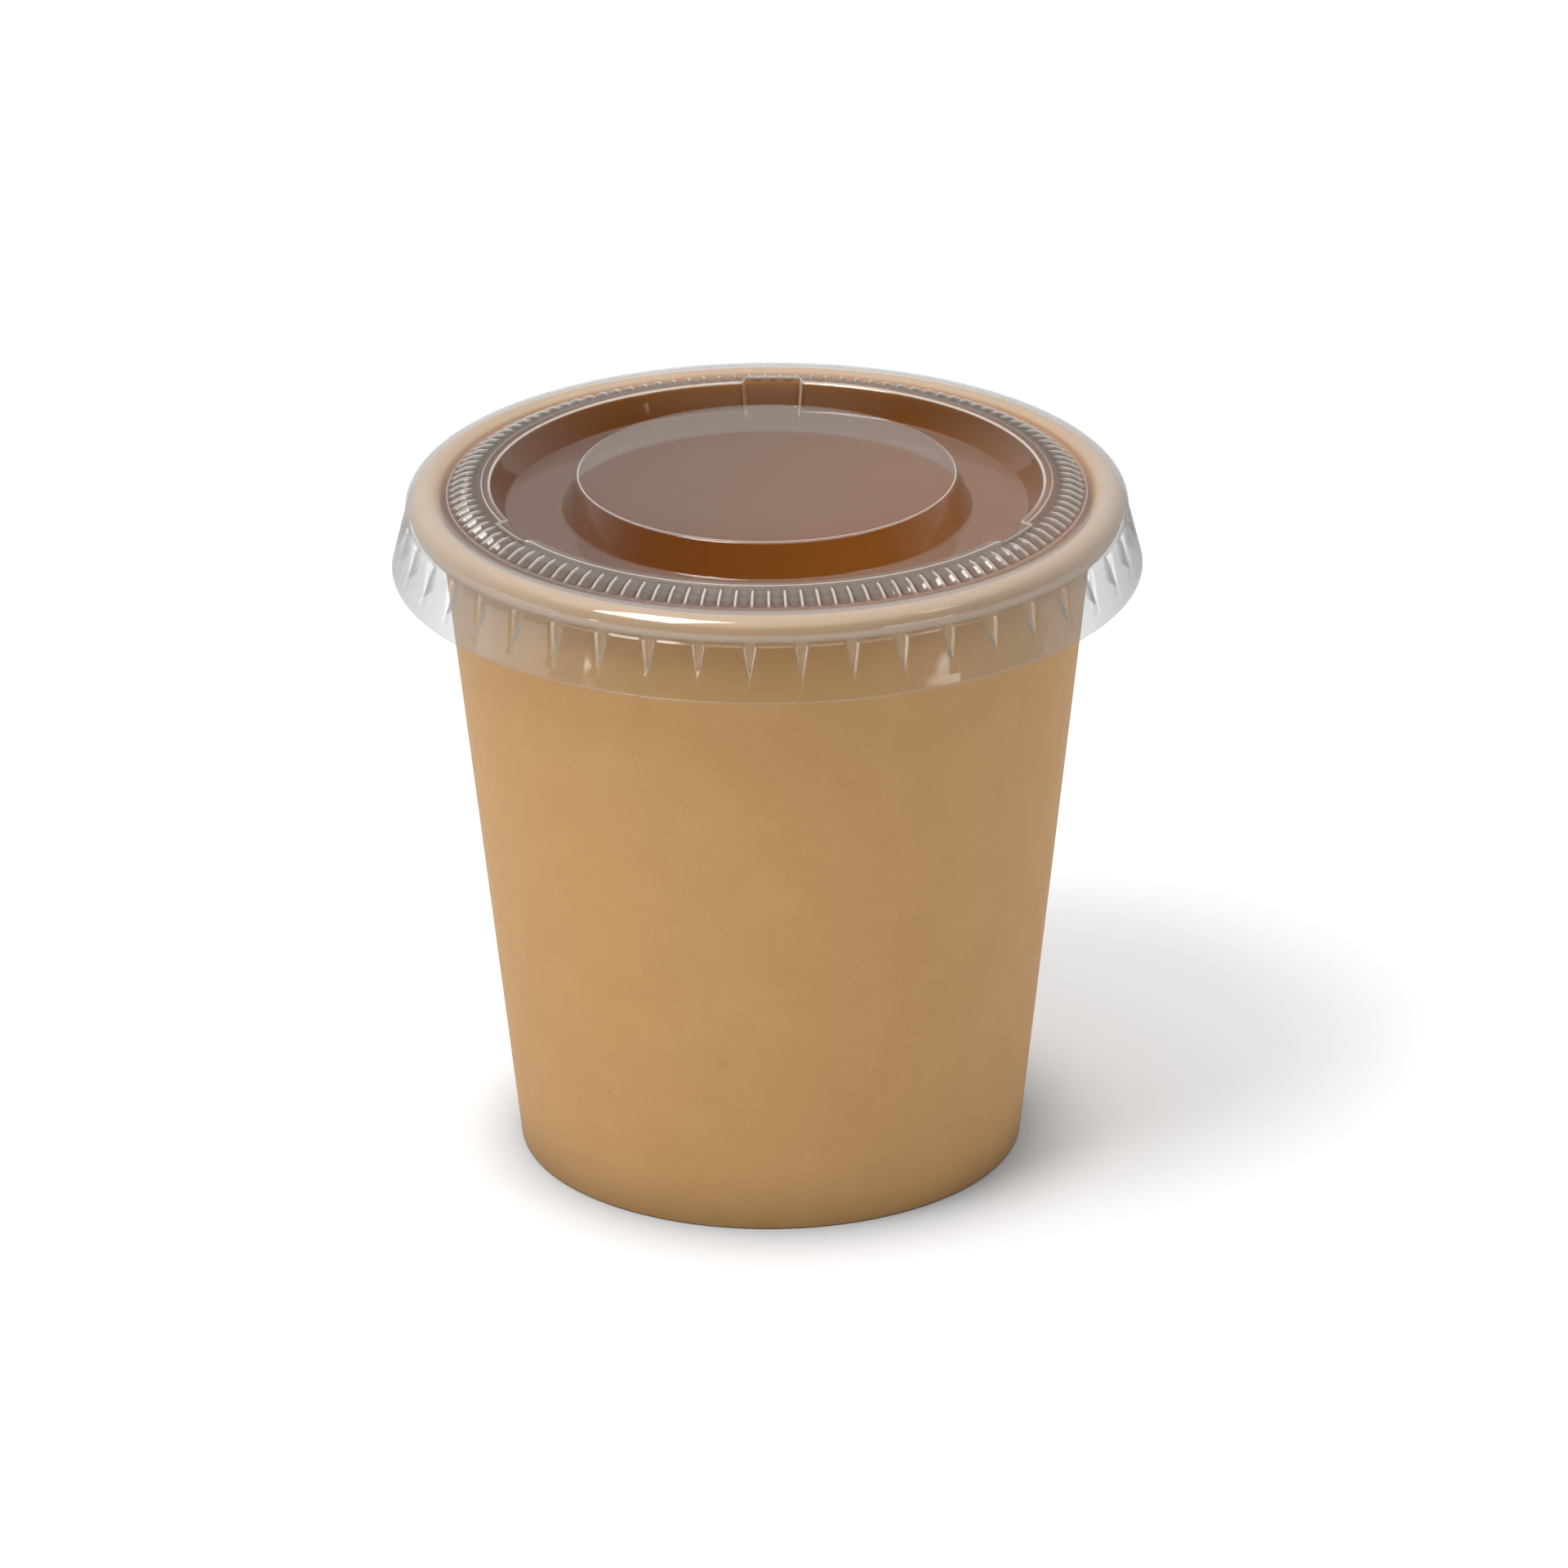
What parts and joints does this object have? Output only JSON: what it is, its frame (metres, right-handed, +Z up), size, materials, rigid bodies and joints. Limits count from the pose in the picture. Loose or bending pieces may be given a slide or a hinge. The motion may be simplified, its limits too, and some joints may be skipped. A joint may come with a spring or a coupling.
{
  "type": "paper portion cup with lid",
  "caption": "Small tapered kraft-board portion cup, empty, with a rolled rim and recessed base, closed by a clear press-fit lid with a raised centre, a ribbed rim and a flared skirt.",
  "frame": {"origin": "centre of the foot, on the surface that the cup stands on", "axes": "+Z up along the cup's axis; -Y towards the viewer of the picture; the wall's lap seam is at +Y"},
  "size_m": [0.0672, 0.0671, 0.0638],
  "materials": {
    "kraft_board": "smooth uncoated kraft board",
    "kraft_base": "smooth kraft board",
    "clear_film": "clear thermoformed film"
  },
  "bodies": {
    "root": {"cup_wall": "kraft_board", "cup_base": "kraft_base", "lid": "clear_film"}
  },
  "joints": []
}
